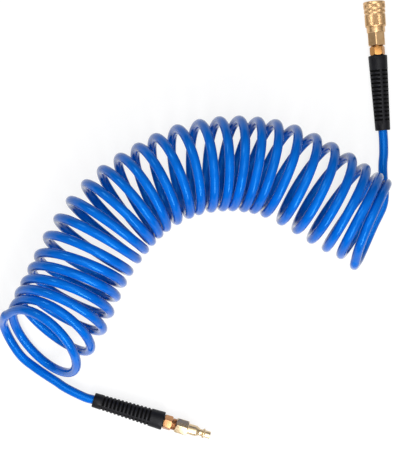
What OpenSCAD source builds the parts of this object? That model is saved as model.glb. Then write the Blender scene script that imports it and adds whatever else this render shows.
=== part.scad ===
// Coiled air hose: a recoil hose with a bend restrictor and a swivelling nut at each end,
// a quick plug on one end and a sleeve-locked quick coupler on the other.
// Millimetres. +Z is up and the hose lies on the plane Z = 0, with the coil arched in plan.
// Every fitting is drawn along its own +Z: zero is the cut end of the hose, + is outward.

/* [Hose] */
// Outside diameter of the hose
hose_od = 10; // [9.5:0.1:10.1]
// Bore of the hose
hose_id = 6.5; // [6:0.1:6.8]
// Radius of a turn, to the middle of the hose
turn_r = 45.5; // [44:0.5:47]
// Share of the hose's diameter that the floor flattens under each turn
floor_flat = 0.1; // [0.08:0.01:0.15]

/* [Bend restrictors] */
// Length of a bend restrictor
boot_len = 81; // [76:1:84]
// Diameter of its end at the fitting
boot_wide_d = 20.4; // [19.5:0.1:21]
// Diameter of its end on the hose
boot_narrow_d = 16.2; // [15:0.1:18]
// Rings of slots along it
boot_rings = 13; // [8:1:14]
// Distance from one ring of slots to the next
boot_pitch = 4.4; // [4:0.1:4.5]
// Width of a slot
boot_slot_w = 2; // [1.5:0.1:2.4]
// Depth of a slot
boot_slot_depth = 1; // [0.8:0.1:1.4]
// Slots round a ring
boot_slots = 4; // [3:1:6]
// Width of the web between two slots of a ring
boot_web_w = 2; // [1.6:0.1:3]
// Plain collar at the narrow end
boot_collar = 10.6; // [9:0.2:12]

/* [Crimped ends] */
// Outside diameter of the ferrule
ferrule_od = 12.8; // [12:0.1:13.4]
// Length of the ferrule over the hose
ferrule_len = 24; // [20:0.5:27]
// Thickness of the ferrule's front lip
ferrule_lip = 1.5; // [1:0.1:2]
// Number of crimp grooves rolled into the ferrule
crimps = 4; // [2:1:5]
// Number of barbs on the stem
barbs = 5; // [3:1:6]
// Length of one barb
barb_pitch = 4.2; // [3:0.1:4.5]
// Depth of a barb
barb_depth = 0.5; // [0.3:0.05:0.7]
// Bore of the stem
stem_bore = 4.2; // [3.6:0.1:4.6]
// Diameter of the stem's shank inside the nut
shank_d = 8; // [7.4:0.1:8.4]
// Length of that shank
shank_len = 9.8; // [8:0.1:11]
// Diameter of the flange that the nut turns on
flange_d = 10.8; // [10.4:0.1:11.4]
// Thickness of the flange
flange_t = 2.2; // [1.6:0.1:2.6]
// Thickness of the O-ring
oring_t = 1; // [0.8:0.05:1.2]

/* [Swivel nuts] */
// Size of the nut across its flats
nut_af = 14.3; // [14:0.1:15]
// Length of the nut's hex
nut_hex_len = 9.5; // [8:0.1:10]
// Thickness of the lip that closes behind the flange
nut_lip = 1.5; // [1.2:0.1:1.8]
// Diameter of the male thread
thread_d = 13.2; // [12.8:0.1:13.4]
// Length of thread screwed into a fitting
thread_in = 9; // [8:0.1:9.6]
// Thread left showing at the plug
plug_thread_gap = 4.5; // [3:0.1:5]
// Thread left showing at the coupler
coupler_thread_gap = 1; // [0.6:0.1:2]
// Bore through the threaded end
nut_bore = 5.2; // [4.5:0.1:6]

/* [Quick plug] */
// Size of the plug's hex across its flats
plug_af = 15.9; // [15.6:0.1:17]
// Length of the hex
plug_hex_len = 13.9; // [12:0.1:15]
// Diameter of the plug's body
plug_body_d = 11.6; // [11:0.1:11.8]
// Length of the body
plug_body_len = 9.5; // [8:0.1:11]
// Length of the cone ahead of the body
plug_cone_len = 3.6; // [3:0.1:4.5]
// Diameter of the neck that the balls lock round
plug_neck_d = 7.4; // [7:0.1:7.8]
// Length of the neck
plug_neck_len = 3.4; // [3:0.1:4]
// Diameter of the bead
plug_bead_d = 10.7; // [10.3:0.05:11]
// Length of the bead
plug_bead_len = 3.4; // [3:0.1:4]
// Diameter of the tip
plug_tip_d = 7.9; // [7.7:0.05:8.1]
// Length of the tip
plug_tip_len = 6; // [5:0.1:7]
// Bore of the plug
plug_bore = 5.1; // [4.5:0.1:5.4]

/* [Coupler] */
// Length of the coupler
coupler_len = 47; // [46.5:0.1:49]
// Diameter of the round bar that its rear body is turned from
bar_d = 19.8; // [19.4:0.1:19.9]
// Size of the rear body across its flats
coupler_af = 17.5; // [17:0.1:18]
// Length of the flats
coupler_flat_len = 14.5; // [12:0.1:15]
// Distance from the mouth to the front of the rear body
body_front = 23; // [22.5:0.1:24]
// Outside diameter of the barrel
barrel_d = 15; // [14.8:0.1:15.2]
// Bore of the barrel, which takes a plug
mouth_d = 12; // [11.9:0.05:12.1]
// Depth of that bore, from the mouth
mouth_depth = 14.4; // [14:0.1:15]
// Depth of its wide entry, which ends before the balls
entry_depth = 7.5; // [7.3:0.1:7.7]
// Bore past that entry
land_d = 11.4; // [11.2:0.1:11.5]
// Length of the barrel inside the rear body
barrel_in = 5; // [4:0.1:5.5]

/* [Sleeve] */
// Diameter of the sleeve's front rim
rim_d = 23.5; // [23:0.1:24]
// Length of the sleeve
sleeve_len = 27; // [26:0.1:27.5]
// Distance that the sleeve pulls back
sleeve_stroke = 4.5; // [4:0.1:4.6]
// Inside diameter of the sleeve's skirt
skirt_id = 20; // [20:0.05:20.2]
// Depth of the grooves between its bands
band_groove = 0.6; // [0.3:0.05:0.8]

/* [Locking balls] */
// Number of locking balls
balls = 4; // [3:1:4]
// Diameter of a ball
ball_d = 3.97; // [3.8:0.01:4]
// Distance from the mouth to the balls
ball_at = 10; // [9.8:0.1:10.2]
// Distance that the balls move outward when the sleeve is pulled back
ball_lift = 1.6; // [1.4:0.05:1.7]

/* [Valve and seals] */
// Thickness of the seal that the plug enters
seal_t = 2; // [1.6:0.1:2.4]
// Hole through the seal
seal_id = 7.8; // [7.6:0.05:7.9]
// Diameter of the valve's head
valve_d = 10; // [9.6:0.1:10.4]
// Distance that the valve opens
valve_stroke = 3.5; // [3:0.1:3.8]
// Diameter of the valve's stem
valve_stem_d = 4; // [3.6:0.1:4.4]

/* [Springs] */
// Wire of the sleeve's spring
sleeve_wire = 0.9; // [0.7:0.05:1]
// Turns of the sleeve's spring
sleeve_coils = 4; // [3:1:4]
// Wire of the valve's spring
valve_wire = 0.6; // [0.5:0.05:0.7]
// Turns of the valve's spring
valve_coils = 6; // [5:1:7]

/* [Clearances] */
// Radial running clearance of a turning or sliding fit
run = 0.05; // [0.03:0.01:0.08]
// Gap between parts that move past each other
gap = 0.3; // [0.3:0.05:0.4]
// Clearance of a part that is pushed or screwed in place
seat = 0.02; // [0.01:0.01:0.05]

/* [Hidden] */

// How far a slotted sleeve or a hexagon is turned on its axis, as it lies.
PLUG_BOOT_TURN = 21;
COUPLER_BOOT_TURN = 6;
PLUG_HEX_TURN = 17;
COUPLER_HEX_TURN = 11;

// ---- Where things lie ----------------------------------------------------------------------
// Moves the whole layout so that the middle of its bounding box is over the origin.
CENTRE = [10.7, -0.9, 0];
// The cut end of the hose at each fitting, and the heading of the fitting's axis.
PLUG_AT = [-47, -219, 10.5];
PLUG_HEADING = -17;
COUPLER_AT = [188, 180.5, 12];
COUPLER_HEADING = 94.5;
// The coil's axis in plan, one point for every second turn, from the plug's end on.
AXIS = [
    [-178, -132], [-155, -97], [-140, -66], [-125, -34], [-104, -2], [-80, 23], [-53, 42],
    [-20, 58], [15, 65], [46, 65], [77, 59], [113, 42], [146, 21], [174, 5]
];
TURNS_PER_POINT = 2;
FIRST_TURN = 0.05;
LAST_TURN = 26.4;
// After so many turns: a turn's radius as a share of turn_r, how far it leans along the
// axis for each unit that it rises, and how far it fans from square to the axis, in degrees.
SPREAD = [
    [0, 1.02], [1, 1.01], [2, 1.06], [5, 1.02], [8, 1.03], [12, 0.97], [19, 1.03], [23, 1.04],
    [25, 1.01], [26.6, 0.95]
];
LEAN = [
    [0, 0.78], [1, 0.68], [2, 0.48], [5, 0.32], [8, 0.14], [12, 0.24], [19, 0.12], [23, 0.08],
    [25, -0.08], [26.6, -0.24]
];
FAN = [
    [0, -13], [1, -3], [2, -0.5], [5, 2], [8, 1.5], [12, -6.5], [19, -7.5], [23, 3.5],
    [25, -2], [26.6, 6.5]
];
// The free stretches, from each fitting to the coil.
PLUG_ROUTE = [
    [-153, -183, 10], [-163.5, -176, 9.5], [-174.5, -169, 9], [-187, -161, 7],
    [-203, -148.5, 5], [-215, -129, 8.5], [-219, -109.5, 24.5]
];
COUPLER_ROUTE = [
    [195.5, 76.5, 11.5], [195, 66, 10], [195.5, 52.5, 8], [197.5, 36.5, 6], [196, 19, 5],
    [186.5, -2, 5], [177, -23, 8], [168.5, -37.5, 20.5], [161.5, -43, 40]
];
RINGS_PER_TURN = 22;
COIL_SIDES = 6;
TAIL_SIDES = 10;
RINGS_PER_STEP = 2;
// Facets of a drawn circle, and the rings and sides of a spring's turn.
$fn = 64;
SPRING_RINGS = 8;
SPRING_SIDES = 6;
// A spring is swept this far up, clear of the rule that keeps tubes above the floor.
CLEAR_OF_FLOOR = 100;

// ---- Sizes that follow from the ones above --------------------------------------------------
hose_r = hose_od / 2;
ferrule_r = ferrule_od / 2;
shank_r = shank_d / 2;
flange_r = flange_d / 2;
thread_r = thread_d / 2;
barrel_r = barrel_d / 2;
mouth_r = mouth_d / 2;
bar_r = bar_d / 2;
rim_r = rim_d / 2;
ball_r = ball_d / 2;
skirt_r = skirt_id / 2;

// Along a fitting's axis, from the cut end of the hose outward.
boot_front = ferrule_lip + gap;
nut_back = boot_front + gap;
flange_back = nut_back + nut_lip + gap;
flange_front = flange_back + flange_t;
shank_front = flange_front + shank_len;
nut_front = nut_back + nut_hex_len;
plug_back = nut_front + plug_thread_gap;
mouth_at = nut_front + coupler_thread_gap + coupler_len;
tail_straight = boot_len - boot_front + 1;
// How far the faceted stretch reaches into the round one.
tail_root = 0.5;
// The ferrule's lip locks into a groove between the barbs and the stem's neck.
lip_r = hose_id / 2 + seat;
neck_r = shank_r;
nut_lip_r = neck_r + gap;
nut_chamber_r = flange_r + gap;
nut_bore_r = shank_r + run;
thread_bore_r = thread_r + seat;
thread_room = thread_in + 1;
oring_r = nut_bore_r - seat - oring_t / 2;
oring_floor_r = oring_r - oring_t / 2 - seat;
oring_at = flange_front + 0.6 * shank_len;

// Inside the coupler, measured from the mouth inward.
ring_t = 1;
ring_at = 0.7;
ring_r = barrel_r + 1.1;
ring_groove_r = barrel_r - 0.7;
sleeve_bore_r = barrel_r + run;
lip_at = ring_at + ring_t + gap;
lip_t = 1.1;
// The sleeve's ramp keeps the same clearance from the balls all through the stroke.
ramp = ball_lift / sleeve_stroke;
ball_rest_r = plug_neck_d / 2 + ball_r + run;
ramp_r = ball_rest_r + (ball_r + run) * sqrt(1 + ramp * ramp);
recess_r = ball_rest_r + ball_lift + ball_r + 2 * run;
ramp_start = ball_at - (recess_r - ramp_r) / ramp;
ramp_end = ball_at + (ramp_r - sleeve_bore_r) / ramp;
sleeve_shoulder = ramp_end + 2.6;
web_t = 1;
seal_at = mouth_depth + web_t;
valve_seat = seal_at + seal_t;
valve_r = valve_d / 2;
valve_stem_r = valve_stem_d / 2;
chamber_r = barrel_r - 1.2;
barrel_end = body_front + barrel_in;
valve_web_at = barrel_end + 0.6;
valve_web_t = 2.4;
head_t = 1.5;
boss_r = 2.9;
boss_t = 1.2;

// ---- Curves and swept tubes ----------------------------------------------------------------
function unit(v) = v / norm(v);
function heading(a) = [cos(a), sin(a), 0];

// A smooth curve through the points of a list, with s counting the points.
function with_ends(pts) = let (z = len(pts) - 1)
    concat([2 * pts[0] - pts[1]], pts, [2 * pts[z] - pts[z - 1]]);
function curve_at(p, s) =
    let (i = min(max(floor(s), 0), len(p) - 4), t = s - i,
        a = p[i], b = p[i + 1], c = p[i + 2], d = p[i + 3])
    0.5 * (2 * b + (c - a) * t + (2 * a - 5 * b + 4 * c - d) * t * t
        + (3 * b - a - 3 * c + d) * t * t * t);
function curve_dir(p, s) = unit(curve_at(p, s + 0.01) - curve_at(p, s - 0.01));

function tangent(p, i) = unit(p[min(i + 1, len(p) - 1)] - p[max(i - 1, 0)]);
// The part of n that is square to the path at point i.
function squared(p, i, n) = let (t = tangent(p, i)) unit(n - (n * t) * t);
// A direction square to the path, carried along it without twist.
function carried(p, i, n) =
    i >= len(p) ? [] : let (m = squared(p, i, n)) concat([m], carried(p, i + 1, m));

// One ring of a tube. Nothing goes below the floor, so a turn that rests there is flat.
function ring_points(c, t, n, r, sides) =
    let (b = cross(t, n))
    [for (k = [0 : sides - 1]) let (a = 360 * (k + 0.5) / sides,
        q = c + r * (cos(a) * n + sin(a) * b)) [q[0], q[1], max(q[2], 0)]];
function tube_faces(rings, sides) = concat(
    [for (k = [1 : sides - 2]) [0, k, k + 1]],
    [for (i = [0 : rings - 2], k = [0 : sides - 1], half = [0, 1])
        let (a = i * sides + k, b = i * sides + (k + 1) % sides)
        half == 0 ? [a, a + sides, b] : [b, a + sides, b + sides]],
    let (z = (rings - 1) * sides) [for (k = [1 : sides - 2]) [z, z + k + 1, z + k]]);
module swept(path, normals, r, sides) {
    rings = [for (i = [0 : len(path) - 1])
        each ring_points(path[i], tangent(path, i), squared(path, i, normals[i]), r, sides)];
    polyhedron(rings, tube_faces(len(path), sides), convexity = 12);
}

// ---- The hose ------------------------------------------------------------------------------
AXIS_CURVE = with_ends(AXIS);
// The middle of the hose after w turns, and the point on the coil's axis beside it.
function coil_point(w) =
    let (s = w / TURNS_PER_POINT, c = curve_at(AXIS_CURVE, s), t = curve_dir(AXIS_CURVE, s),
        a = atan2(t[1], t[0]) + lookup(w, FAN), r = turn_r * lookup(w, SPREAD),
        side = r * cos(360 * w), rise = r * sin(360 * w), lean = lookup(w, LEAN) * rise)
    [c[0] - side * sin(a) + lean * t[0], c[1] + side * cos(a) + lean * t[1],
        r + hose_r - floor_flat * hose_od + rise];
function coil_outward(w) = let (c = curve_at(AXIS_CURVE, w / TURNS_PER_POINT), p = coil_point(w))
    unit([p[0] - c[0], p[1] - c[1], turn_r * sin(360 * w)]);
function coil_dir(w) = unit(coil_point(w + 0.01) - coil_point(w - 0.01));
// Each end of the coil runs straight for one diameter of the hose.
COIL_START = coil_point(FIRST_TURN) - hose_od * coil_dir(FIRST_TURN);
COIL_END = coil_point(LAST_TURN) + hose_od * coil_dir(LAST_TURN);
COIL_RINGS = round((LAST_TURN - FIRST_TURN) * RINGS_PER_TURN);
COIL_STEPS = [for (i = [0 : COIL_RINGS]) FIRST_TURN + (LAST_TURN - FIRST_TURN) * i / COIL_RINGS];

function to_segment(p, a, b) =
    let (d = b - a, t = min(max((p - a) * d / (d * d), 0), 1)) norm(p - a - t * d);
// The least gap from any ring of a coiled tube to the turns after it.
function least_gap(path) = min([for (i = [0 : len(path) - 1])
    for (j = [i + RINGS_PER_TURN / 2 : 1 : min(i + 2 * RINGS_PER_TURN, len(path) - 2)])
        to_segment(path[i], path[j], path[j + 1])]) - hose_od;

module hose_coil() {
    path = concat([COIL_START], [for (w = COIL_STEPS) coil_point(w)], [COIL_END]);
    outward = concat([coil_outward(FIRST_TURN)], [for (w = COIL_STEPS) coil_outward(w)],
        [coil_outward(LAST_TURN)]);
    echo(least_gap_between_turns_mm = least_gap(path));
    echo(length_of_hose_in_coil_mm = path_length(path));
    color("dodgerblue") translate(CENTRE) swept(path, outward, hose_r, COIL_SIDES);
}

function path_length(p) = len(p) < 2 ? 0
    : [for (i = [0 : len(p) - 2]) norm(p[i + 1] - p[i])] * [for (i = [0 : len(p) - 2]) 1];

// A free stretch: straight out of the fitting, along its route, and straight into the coil.
function tail_path(at, head, route, coil_end, away) =
    let (back = at - tail_straight * heading(head),
        pts = concat([back, back - hose_od * heading(head)], route,
            [coil_end + hose_od * away, coil_end]),
        curve = with_ends(pts), z = len(pts) - 1)
    concat([pts[0] + tail_root * heading(head)],
        [for (s = [1 : 1 / RINGS_PER_STEP : z - 1]) curve_at(curve, s)], [pts[z]]);
module hose_tail(at, head, route, coil_end, away) {
    path = tail_path(at, head, route, coil_end, away);
    echo(length_of_free_stretch_mm = path_length(path) + tail_straight - tail_root);
    color("dodgerblue") {
        translate(CENTRE) swept(path, carried(path, 0, [0, 0, 1]), hose_r - seat, TAIL_SIDES);
        along(at, head) difference() {
            translate([0, 0, -tail_straight]) cylinder(h = tail_straight, r = hose_r);
            translate([0, 0, -tail_straight + 2 * tail_root])
                cylinder(h = tail_straight, d = hose_id);
        }
    }
}

// ---- Placing and basic forms ---------------------------------------------------------------
module along(at, head) {
    translate(at + CENTRE) rotate([0, 90, head]) children();
}
module plug_end() { along(PLUG_AT, PLUG_HEADING) children(); }
module coupler_end() { along(COUPLER_AT, COUPLER_HEADING) children(); }
module from_mouth() { coupler_end() translate([0, 0, mouth_at]) rotate([180, 0, 0]) children(); }

// A turned form: points are [radius, distance along the axis].
module turned(points) { rotate_extrude() polygon(points); }
module ring(r_out, r_in, from, to) {
    turned([[r_in, from], [r_out, from], [r_out, to], [r_in, to]]);
}
// A hexagonal bar with its corners turned down at both ends.
module hex_bar(af, from, to, chamfer) {
    corner = af / sqrt(3);
    intersection() {
        translate([0, 0, from]) rotate([0, 0, 30]) cylinder(h = to - from, r = corner, $fn = 6);
        turned([[0, from], [af / 2, from], [corner + 0.1, from + chamfer],
            [corner + 0.1, to - chamfer], [af / 2, to], [0, to]]);
    }
}
module spring(mean_r, wire, coils, from, to) {
    rings = coils * SPRING_RINGS;
    path = [for (i = [0 : rings]) let (a = 360 * i / SPRING_RINGS)
        [mean_r * cos(a), mean_r * sin(a), CLEAR_OF_FLOOR + from + wire / 2
            + (to - from - wire) * i / rings]];
    out = [for (i = [0 : rings]) let (a = 360 * i / SPRING_RINGS) [cos(a), sin(a), 0]];
    color("silver") translate([0, 0, -CLEAR_OF_FLOOR]) swept(path, out, wire / 2, SPRING_SIDES);
}

// ---- The crimped end: the same at both fittings --------------------------------------------
module bend_restrictor(turn) {
    wide_r = boot_wide_d / 2;
    narrow_r = boot_narrow_d / 2;
    back = boot_front - boot_len;
    pocket = -ferrule_len - gap;
    hose_bore_r = hose_r + 0.2;
    pocket_r = ferrule_r + run;
    round = 0.8;
    color("#202022") difference() {
        turned([[hose_bore_r, back], [narrow_r - round, back], [narrow_r, back + round],
            [wide_r, boot_front - round], [wide_r - round, boot_front],
            [pocket_r, boot_front], [pocket_r, pocket], [hose_bore_r, pocket]]);
        for (i = [0 : boot_rings - 1]) difference() {
            translate([0, 0, back + boot_collar + i * boot_pitch]) difference() {
                cylinder(h = boot_slot_w, r = wide_r + 1);
                for (k = [0 : boot_slots - 1]) rotate([0, 0, 360 * k / boot_slots + turn])
                    translate([0, -boot_web_w / 2, -1])
                        cube([wide_r + 2, boot_web_w, boot_slot_w + 2]);
            }
            turned([[0, back], [narrow_r - boot_slot_depth, back],
                [wide_r - boot_slot_depth, boot_front], [0, boot_front]]);
        }
    }
}

module crimp_ferrule() {
    step = (ferrule_len - 4) / crimps;
    color("goldenrod") difference() {
        turned([[hose_r, -ferrule_len], [ferrule_r - 0.4, -ferrule_len],
            [ferrule_r, -ferrule_len + 0.4], [ferrule_r, ferrule_lip - 0.4],
            [ferrule_r - 0.4, ferrule_lip], [lip_r, ferrule_lip], [lip_r, 0], [hose_r, 0]]);
        for (i = [0 : crimps - 1])
            translate([0, 0, -2 - (i + 0.5) * step]) rotate_extrude()
                translate([ferrule_r + 1.4, 0]) circle(r = 2);
    }
}

module barbed_stem() {
    crest = hose_id / 2 - seat;
    root = crest - barb_depth;
    bore = stem_bore / 2;
    start = -barbs * barb_pitch - 1;
    groove = oring_t / 2 + 0.15;
    color("darkgoldenrod") turned(concat(
        [[bore, start], [root, start]],
        [for (i = [barbs : -1 : 1]) each [[root, -i * barb_pitch],
            [crest, -(i - 1) * barb_pitch - 1], [crest, -(i - 1) * barb_pitch - 0.4],
            [root, -(i - 1) * barb_pitch - 0.4]]],
        [[root, 0], [hose_id / 2, 0], [hose_id / 2, ferrule_lip], [neck_r, ferrule_lip],
            [neck_r, flange_back], [flange_r, flange_back], [flange_r, flange_front],
            [shank_r, flange_front], [shank_r, oring_at - groove],
            [oring_floor_r, oring_at - groove], [oring_floor_r, oring_at + groove],
            [shank_r, oring_at + groove], [shank_r, shank_front - 0.5],
            [shank_r - 0.5, shank_front], [bore, shank_front]]));
}

module stem_oring() {
    color("#151515") translate([0, 0, oring_at]) rotate_extrude()
        translate([oring_r, 0]) circle(d = oring_t);
}

// The nut turns on the stem's flange, and its male end screws into a fitting.
module swivel_nut(thread_gap) {
    front = nut_front + thread_gap + thread_in;
    color("#d9894a") difference() {
        union() {
            hex_bar(nut_af, nut_back, nut_front, 1.1);
            turned([[0, nut_front - 1], [thread_r - 0.6, nut_front - 1],
                [thread_r - 0.6, nut_front + 0.6], [thread_r, nut_front + 0.6],
                [thread_r, front - 1], [thread_r - 0.8, front], [0, front]]);
        }
        turned([[0, nut_back - 1], [nut_lip_r, nut_back - 1], [nut_lip_r, nut_back + nut_lip],
            [nut_chamber_r, nut_back + nut_lip], [nut_chamber_r, flange_front + gap],
            [nut_bore_r, flange_front + gap], [nut_bore_r, shank_front + gap],
            [nut_bore / 2, shank_front + gap], [nut_bore / 2, front + 1], [0, front + 1]]);
    }
}

// ---- The quick plug ------------------------------------------------------------------------
module quick_plug() {
    hex_front = plug_back + plug_hex_len;
    body_end = hex_front + plug_body_len;
    neck_at = body_end + plug_cone_len;
    bead_at = neck_at + plug_neck_len;
    tip_at = bead_at + plug_bead_len;
    end = tip_at + plug_tip_len;
    body_r = plug_body_d / 2;
    neck = plug_neck_d / 2;
    bead = plug_bead_d / 2;
    tip = plug_tip_d / 2;
    bore = plug_bore / 2;
    color("#cda77d") plug_end() difference() {
        union() {
            rotate([0, 0, PLUG_HEX_TURN]) hex_bar(plug_af, plug_back, hex_front, 1.6);
            turned([[0, plug_back + 1], [body_r, plug_back + 1], [body_r, body_end],
                [neck + 0.4, neck_at], [neck, neck_at + 0.3], [neck, bead_at],
                [bead, bead_at + 0.35 * plug_bead_len], [bead, tip_at - 0.35 * plug_bead_len],
                [tip, tip_at], [tip, end - 0.4], [tip - 0.4, end], [0, end]]);
        }
        turned([[0, plug_back - 1], [thread_bore_r + 0.6, plug_back - 1],
            [thread_bore_r + 0.6, plug_back], [thread_bore_r, plug_back + 0.6],
            [thread_bore_r, plug_back + thread_room], [bore, plug_back + thread_room + 2],
            [bore, end + 1], [0, end + 1]]);
    }
}

// ---- The coupler ---------------------------------------------------------------------------
// Round bar with six flats milled on its rear half; the sleeve's skirt slides over its front.
module coupler_rear_body() {
    flats_at = coupler_len - coupler_flat_len;
    half = coupler_af / 2;
    bore = valve_stem_r + run;
    color("#c69a66") from_mouth() difference() {
        turned([[barrel_r + seat, body_front], [bar_r - 0.4, body_front],
            [bar_r, body_front + 0.4], [bar_r, coupler_len - 1], [bar_r - 1, coupler_len],
            [thread_bore_r + 0.6, coupler_len], [thread_bore_r, coupler_len - 0.6],
            [thread_bore_r, coupler_len - thread_room],
            [chamber_r - 0.7, coupler_len - thread_room],
            [chamber_r - 0.7, valve_web_at + valve_web_t], [bore, valve_web_at + valve_web_t],
            [bore, valve_web_at], [chamber_r, valve_web_at], [chamber_r, barrel_end + seat],
            [barrel_r + seat, barrel_end + seat]]);
        for (k = [0 : 5]) rotate([0, 0, 60 * k + 30 + COUPLER_HEX_TURN]) rotate([90, 0, 0])
            linear_extrude(height = bar_d, center = true)
                polygon([[half, flats_at + 1], [half + 2, flats_at - 1],
                    [half + 2, coupler_len + 1], [half, coupler_len + 1]]);
        for (k = [0 : 5]) rotate([0, 0, 60 * k])
            translate([(bore + chamber_r) / 2 + 0.9, 0, valve_web_at - 1])
                cylinder(h = valve_web_t + 2, r = 0.8);
    }
}

// The socket that a plug enters. The balls sit in holes through its wall.
module coupler_barrel() {
    color("#c9a06c") from_mouth() difference() {
        turned([[mouth_r + 0.7, 0], [barrel_r - 0.2, 0], [barrel_r, 0.2],
            [barrel_r, ring_at - seat], [ring_groove_r, ring_at - seat],
            [ring_groove_r, ring_at + ring_t + seat], [barrel_r, ring_at + ring_t + seat],
            [barrel_r, barrel_end], [chamber_r, barrel_end], [chamber_r, seal_at],
            [plug_tip_d / 2 + gap, seal_at], [plug_tip_d / 2 + gap, mouth_depth],
            [land_d / 2, mouth_depth], [land_d / 2, entry_depth + 0.2], [mouth_r, entry_depth],
            [mouth_r, 0.7]]);
        for (k = [0 : balls - 1]) rotate([0, 0, 360 * k / balls + 45])
            translate([0, 0, ball_at]) rotate([0, 90, 0]) cylinder(h = rim_r, r = ball_r + run);
    }
}

// The sleeve has a rim, three knurled bands and two grooves outside, and inside it a lip,
// a recess for the balls, the ramp that locks them and a pocket for its spring.
module coupler_sleeve() {
    band_1 = rim_r - 0.1;
    band_2 = rim_r - 0.35;
    band_3 = rim_r - 0.6;
    color("#c9a06c") from_mouth() turned([
        [ring_r + gap, 0], [rim_r - 0.6, 0], [rim_r, 0.6], [rim_r, 2.4], [band_1, 2.5],
        [band_1, 7.6], [band_1 - band_groove, 7.9], [band_1 - band_groove, 8.9],
        [band_2, 9.2], [band_2, 12], [band_2 - band_groove, 12.3],
        [band_2 - band_groove, 13.3], [band_3, 13.6], [band_3, sleeve_len - 1.6],
        [skirt_r + 0.4, sleeve_len], [skirt_r, sleeve_len], [skirt_r, sleeve_shoulder],
        [sleeve_bore_r, sleeve_shoulder], [sleeve_bore_r, ramp_end],
        [recess_r, ramp_start], [recess_r, lip_at + lip_t], [sleeve_bore_r, lip_at + lip_t],
        [sleeve_bore_r, lip_at], [ring_r + gap, lip_at]]);
}

module sleeve_spring() {
    from_mouth() spring((barrel_r + skirt_r) / 2, sleeve_wire, sleeve_coils,
        sleeve_shoulder + seat, body_front - seat);
}

// A split ring that snaps into the barrel's groove and stops the sleeve.
module sleeve_retaining_ring() {
    opening = 40;
    color("#8c8f94") from_mouth() rotate([0, 0, opening / 2])
        rotate_extrude(angle = 360 - opening)
            translate([ring_groove_r + seat, ring_at]) square([ring_r - ring_groove_r - seat, ring_t]);
}

module locking_ball(k) {
    color("silver") from_mouth() rotate([0, 0, 360 * (k - 1) / balls + 45])
        translate([ball_rest_r, 0, ball_at]) sphere(d = ball_d);
}

module coupler_seal() {
    color("#151515") from_mouth() ring(chamber_r - seat, seal_id / 2, seal_at, valve_seat - seat);
}

module valve_poppet() {
    back = valve_seat + head_t;
    end = valve_web_at + valve_web_t + 0.5;
    nose_r = seal_id / 2 - 2 * gap;
    nose_back = 0.8 * seal_t;
    color("#b5893f") from_mouth() turned([
        [0, seal_at + nose_back], [nose_r, seal_at + nose_back], [nose_r, valve_seat + run],
        [valve_r, valve_seat + run], [valve_r, back], [boss_r, back], [boss_r, back + boss_t],
        [valve_stem_r, back + boss_t], [valve_stem_r, end], [0, end]]);
}

module valve_spring() {
    from_mouth() spring(boss_r + 0.4 + valve_wire / 2, valve_wire, valve_coils,
        valve_seat + head_t + seat, valve_web_at - seat);
}

hose_coil();
hose_tail(PLUG_AT, PLUG_HEADING, PLUG_ROUTE, COIL_START, -coil_dir(FIRST_TURN));  // hose_tail_plug_end
hose_tail(COUPLER_AT, COUPLER_HEADING, COUPLER_ROUTE, COIL_END, coil_dir(LAST_TURN));  // hose_tail_coupler_end
plug_end() bend_restrictor(PLUG_BOOT_TURN);  // bend_restrictor_plug_end
coupler_end()  // bend_restrictor_coupler_end
    bend_restrictor(COUPLER_BOOT_TURN);
plug_end() crimp_ferrule();  // crimp_ferrule_plug_end
coupler_end() crimp_ferrule();  // crimp_ferrule_coupler_end
plug_end() barbed_stem();  // barbed_stem_plug_end
coupler_end() barbed_stem();  // barbed_stem_coupler_end
plug_end() stem_oring();  // stem_oring_plug_end
coupler_end() stem_oring();  // stem_oring_coupler_end
plug_end() swivel_nut(plug_thread_gap);  // swivel_nut_plug_end
coupler_end() swivel_nut(coupler_thread_gap);  // swivel_nut_coupler_end
quick_plug();
coupler_rear_body();
coupler_barrel();
coupler_sleeve();
sleeve_spring();
sleeve_retaining_ring();
locking_ball(1);  // locking_ball_1
locking_ball(2);  // locking_ball_2
locking_ball(3);  // locking_ball_3
locking_ball(4);  // locking_ball_4
coupler_seal();
valve_poppet();
valve_spring();
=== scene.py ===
import math

import bmesh
import bpy
from mathutils import Matrix, Vector


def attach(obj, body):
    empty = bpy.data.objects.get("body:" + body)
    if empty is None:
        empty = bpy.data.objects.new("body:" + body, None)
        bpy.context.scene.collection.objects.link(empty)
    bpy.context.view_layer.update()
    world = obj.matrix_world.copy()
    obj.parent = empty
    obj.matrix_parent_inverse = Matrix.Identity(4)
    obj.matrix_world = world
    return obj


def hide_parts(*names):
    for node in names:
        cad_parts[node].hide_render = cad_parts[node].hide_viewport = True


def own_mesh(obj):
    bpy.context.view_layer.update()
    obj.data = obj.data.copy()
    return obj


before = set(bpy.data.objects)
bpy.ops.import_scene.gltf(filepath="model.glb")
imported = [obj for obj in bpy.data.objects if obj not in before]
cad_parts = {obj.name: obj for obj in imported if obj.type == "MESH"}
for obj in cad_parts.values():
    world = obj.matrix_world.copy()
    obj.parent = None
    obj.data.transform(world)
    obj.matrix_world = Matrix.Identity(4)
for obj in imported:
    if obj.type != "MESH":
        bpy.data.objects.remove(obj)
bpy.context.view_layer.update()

MM = 0.001

# ---- Where things are, in millimetres --------------------------------------------------------
# What moves every place below into the model's frame, which has its origin under the middle.
CENTRE = Vector((10.7, -0.9, 0))
# Where the hose is cut off in each fitting, and which way the fitting points, in degrees.
PLUG_AT, PLUG_HEADING = Vector((-47, -219, 10.5)), -17
COUPLER_AT, COUPLER_HEADING = Vector((188, 180.5, 12)), 94.5

CAMERA_EYE, CAMERA_AIM = Vector((11.98, 71.87, 1237.79)), Vector((0, 0, 40))
CAMERA_LENS, CAMERA_SENSOR = 89.72, 36

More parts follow.
